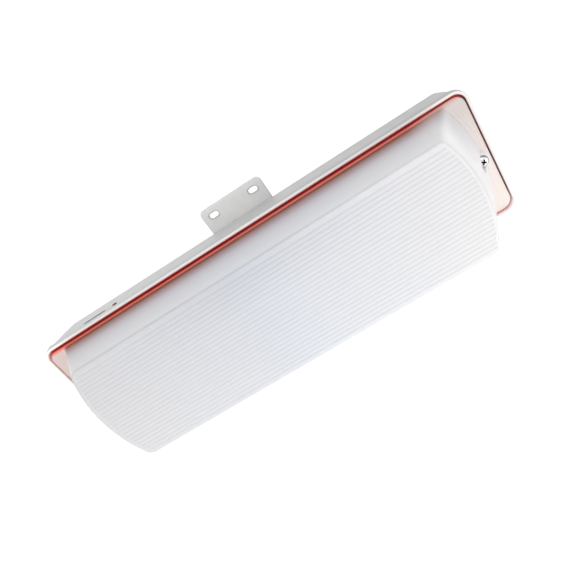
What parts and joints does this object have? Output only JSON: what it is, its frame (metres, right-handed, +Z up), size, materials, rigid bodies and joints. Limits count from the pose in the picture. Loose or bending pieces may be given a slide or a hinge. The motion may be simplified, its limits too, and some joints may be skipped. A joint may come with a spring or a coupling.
{
  "type": "linear bulkhead wall light",
  "caption": "Long wall light: tapered tray housing with a raised rim and orange seal, ribbed opal cover with bowed ends on captive screws, slotted mounting tab, push-to-test bar.",
  "frame": {"origin": "on the wall plane, at the back face of the mounting strap, on the housing's centre line", "axes": "+X along the length, to the right as the light is faced; +Y into the wall; +Z up, towards the slotted tab. The diffuser faces -Y."},
  "size_m": [0.356, 0.1, 0.1105],
  "materials": {
    "housing_white": "satin moulded, near white",
    "opal": "satin translucent opal",
    "gasket_orange": "matt silicone",
    "bracket_grey": "light grey powder coat",
    "screw_chrome": "bright plated",
    "screw_zinc": "zinc plated",
    "seal_grey": "matt",
    "tray_white": "gloss white enamel",
    "strip_white": "white solder mask on aluminium",
    "chip_amber": "phosphor dome in a white package",
    "connector_white": "moulded",
    "driver_grey": "moulded",
    "lid_white": "moulded",
    "cell_green": "shrink sleeve",
    "cap_grey": "moulded",
    "clip_white": "moulded",
    "terminal_cream": "moulded",
    "terminal_brass": "plated",
    "grommet_black": "matt",
    "button_black": "fine texture",
    "spring_steel": "drawn wire",
    "switch_black": "moulded",
    "board_green": "solder mask",
    "lamp_red": "clear tinted",
    "lens_brown": "tinted lens",
    "wire_brown": "PVC",
    "wire_red": "PVC",
    "wire_rose": "PVC",
    "wire_yellow": "PVC"
  },
  "bodies": {
    "housing": {"housing": "housing_white", "mounting_bracket": "bracket_grey", "bracket_screws": "screw_zinc", "gasket": "gasket_orange", "gear_tray": "tray_white", "tray_screws": "screw_zinc", "led_board_upper": "strip_white", "led_board_lower": "strip_white", "led_chips_upper": "chip_amber", "led_chips_lower": "chip_amber", "led_connectors": "connector_white", "board_screws": "screw_zinc", "driver_case": "driver_grey", "driver_lid": "lid_white", "driver_screws": "screw_zinc", "battery_cells": "cell_green", "battery_caps": "cap_grey", "battery_clips": "clip_white", "terminal_block": "terminal_cream", "terminal_screws": "terminal_brass", "cable_grommet": "grommet_black", "entry_plug_left": "housing_white", "entry_plug_right": "housing_white", "test_springs": "spring_steel", "test_switch": "switch_black", "status_board": "board_green", "status_screws": "screw_zinc", "indicator_led": "lamp_red", "indicator_lens": "lens_brown", "lead_mains": "wire_brown", "lead_battery": "wire_red", "lead_leds": "wire_rose", "lead_status": "wire_yellow"},
    "diffuser": {"diffuser": "opal", "screw_seals": "seal_grey"},
    "screw_left": {"diffuser_screw_left": "screw_chrome"},
    "screw_right": {"diffuser_screw_right": "screw_chrome"},
    "test_button": {"test_button": "button_black", "switch_plunger": "button_black"}
  },
  "joints": [
    {"name": "diffuser_lift", "type": "slide", "parent": "housing", "child": "diffuser", "axis": [0, -1, 0], "range_m": [0, 0.12]},
    {"name": "screw_left_turn", "type": "hinge", "parent": "diffuser", "child": "screw_left", "pos_m": [-0.166, -0.0615, 0], "axis": [0, -1, 0], "continuous": true},
    {"name": "screw_right_turn", "type": "hinge", "parent": "diffuser", "child": "screw_right", "pos_m": [0.166, -0.0615, 0], "axis": [0, -1, 0], "continuous": true},
    {"name": "button_press", "type": "slide", "parent": "housing", "child": "test_button", "axis": [0, 0, -1], "range_m": [0, 0.002], "stiffness_N_per_m": 400, "deforming": ["test_springs"]}
  ]
}
